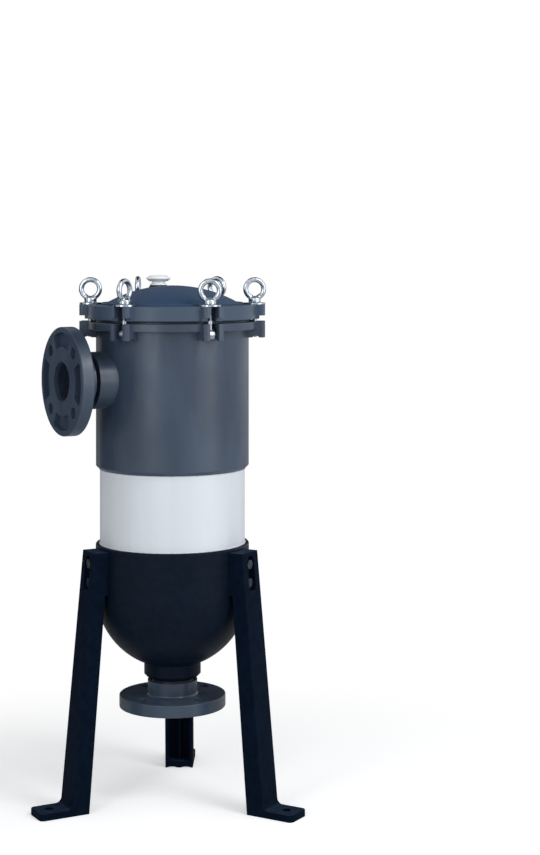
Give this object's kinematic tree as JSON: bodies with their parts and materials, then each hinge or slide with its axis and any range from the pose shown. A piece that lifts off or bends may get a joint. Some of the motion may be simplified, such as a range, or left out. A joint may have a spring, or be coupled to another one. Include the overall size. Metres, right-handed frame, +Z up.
{
  "type": "bag filter housing",
  "caption": "Floor-standing plastic bag filter housing: domed lid held by swing bolts with eye nuts, side inlet flange, round bowl with a bottom outlet flange, splayed legs.",
  "frame": {"origin": "on the vessel's axis at floor level, in the plane of the feet's undersides", "axes": "+Z up along the vessel's axis; the side inlet points along -X and the outlet along -Z"},
  "size_m": [0.36, 0.4122, 0.8092],
  "materials": {
    "grey_pvc": "glossy moulded PVC-U",
    "white_pvc": "glossy extruded PVC-U pipe",
    "black_plastic": "satin glass-filled polypropylene",
    "stainless": "bright stainless steel",
    "white_plastic": "satin moulded plastic",
    "rubber": "matt black EPDM",
    "basket_plastic": "natural polypropylene",
    "felt": "needled polypropylene felt"
  },
  "bodies": {
    "vessel": {"head": "grey_pvc", "body_tube": "white_pvc", "bowl": "black_plastic", "inlet_flange": "grey_pvc", "inlet_nipple": "white_pvc", "outlet_flange": "grey_pvc", "outlet_nipple": "white_pvc", "leg_front_left": "black_plastic", "leg_front_right": "black_plastic", "leg_rear": "black_plastic", "leg_bolts": "stainless", "leg_washers": "stainless", "clamp_pins": "stainless", "lid_seal": "rubber", "bag_seat": "white_pvc"},
    "lid": {"lid": "grey_pvc", "vent_seal": "rubber"},
    "vent_plug": {"vent_plug": "white_plastic"},
    "basket": {"basket": "basket_plastic"},
    "bag": {"bag_collar": "white_plastic", "filter_bag": "felt"},
    "clamp_1": {"swing_bolt_1": "stainless", "clamp_washer_1": "stainless"},
    "nut_1": {"eye_nut_1": "stainless"},
    "clamp_2": {"swing_bolt_2": "stainless", "clamp_washer_2": "stainless"},
    "nut_2": {"eye_nut_2": "stainless"},
    "clamp_3": {"swing_bolt_3": "stainless", "clamp_washer_3": "stainless"},
    "nut_3": {"eye_nut_3": "stainless"},
    "clamp_4": {"swing_bolt_4": "stainless", "clamp_washer_4": "stainless"},
    "nut_4": {"eye_nut_4": "stainless"},
    "clamp_5": {"swing_bolt_5": "stainless", "clamp_washer_5": "stainless"},
    "nut_5": {"eye_nut_5": "stainless"},
    "clamp_6": {"swing_bolt_6": "stainless", "clamp_washer_6": "stainless"},
    "nut_6": {"eye_nut_6": "stainless"}
  },
  "joints": [
    {"name": "lid_lift", "type": "slide", "parent": "vessel", "child": "lid", "axis": [0, 0, 1], "range_m": [0, 0.7]},
    {"name": "vent_plug_turn", "type": "hinge", "parent": "lid", "child": "vent_plug", "pos_m": [0, 0.051, 0.8], "axis": [0, 0, 1], "continuous": true},
    {"name": "basket_lift", "type": "slide", "parent": "vessel", "child": "basket", "axis": [0, 0, 1], "range_m": [0, 0.35]},
    {"name": "bag_lift", "type": "slide", "parent": "basket", "child": "bag", "axis": [0, 0, 1], "range_m": [0, 0.175]},
    {"name": "clamp_1_swing", "type": "hinge", "parent": "vessel", "child": "clamp_1", "pos_m": [0.11085, 0.064, 0.723], "axis": [-0.5, 0.866, 0], "range_deg": [0, 165]},
    {"name": "nut_1_turn", "type": "hinge", "parent": "clamp_1", "child": "nut_1", "pos_m": [0.11085, 0.064, 0.7857], "axis": [0, 0, 1], "continuous": true},
    {"name": "clamp_2_swing", "type": "hinge", "parent": "vessel", "child": "clamp_2", "pos_m": [0, 0.128, 0.723], "axis": [-1, 0, 0], "range_deg": [0, 165]},
    {"name": "nut_2_turn", "type": "hinge", "parent": "clamp_2", "child": "nut_2", "pos_m": [0, 0.128, 0.7857], "axis": [0, 0, 1], "continuous": true},
    {"name": "clamp_3_swing", "type": "hinge", "parent": "vessel", "child": "clamp_3", "pos_m": [-0.11085, 0.064, 0.723], "axis": [-0.5, -0.866, 0], "range_deg": [0, 165]},
    {"name": "nut_3_turn", "type": "hinge", "parent": "clamp_3", "child": "nut_3", "pos_m": [-0.11085, 0.064, 0.7857], "axis": [0, 0, 1], "continuous": true},
    {"name": "clamp_4_swing", "type": "hinge", "parent": "vessel", "child": "clamp_4", "pos_m": [-0.11085, -0.064, 0.723], "axis": [0.5, -0.866, 0], "range_deg": [0, 165]},
    {"name": "nut_4_turn", "type": "hinge", "parent": "clamp_4", "child": "nut_4", "pos_m": [-0.11085, -0.064, 0.7857], "axis": [0, 0, 1], "continuous": true},
    {"name": "clamp_5_swing", "type": "hinge", "parent": "vessel", "child": "clamp_5", "pos_m": [0, -0.128, 0.723], "axis": [1, 0, 0], "range_deg": [0, 165]},
    {"name": "nut_5_turn", "type": "hinge", "parent": "clamp_5", "child": "nut_5", "pos_m": [0, -0.128, 0.7857], "axis": [0, 0, 1], "continuous": true},
    {"name": "clamp_6_swing", "type": "hinge", "parent": "vessel", "child": "clamp_6", "pos_m": [0.11085, -0.064, 0.723], "axis": [0.5, 0.866, 0], "range_deg": [0, 165]},
    {"name": "nut_6_turn", "type": "hinge", "parent": "clamp_6", "child": "nut_6", "pos_m": [0.11085, -0.064, 0.7857], "axis": [0, 0, 1], "continuous": true}
  ],
  "couplings": [
    {"joint": "basket_lift", "follows": "lid_lift", "ratio": 0.5},
    {"joint": "bag_lift", "follows": "lid_lift", "ratio": 0.25},
    {"joint": "clamp_1_swing", "follows": "lid_lift", "rad_per_m": 4.113},
    {"joint": "clamp_2_swing", "follows": "lid_lift", "rad_per_m": 4.113},
    {"joint": "clamp_3_swing", "follows": "lid_lift", "rad_per_m": 4.113},
    {"joint": "clamp_4_swing", "follows": "lid_lift", "rad_per_m": 4.113},
    {"joint": "clamp_5_swing", "follows": "lid_lift", "rad_per_m": 4.113},
    {"joint": "clamp_6_swing", "follows": "lid_lift", "rad_per_m": 4.113}
  ]
}
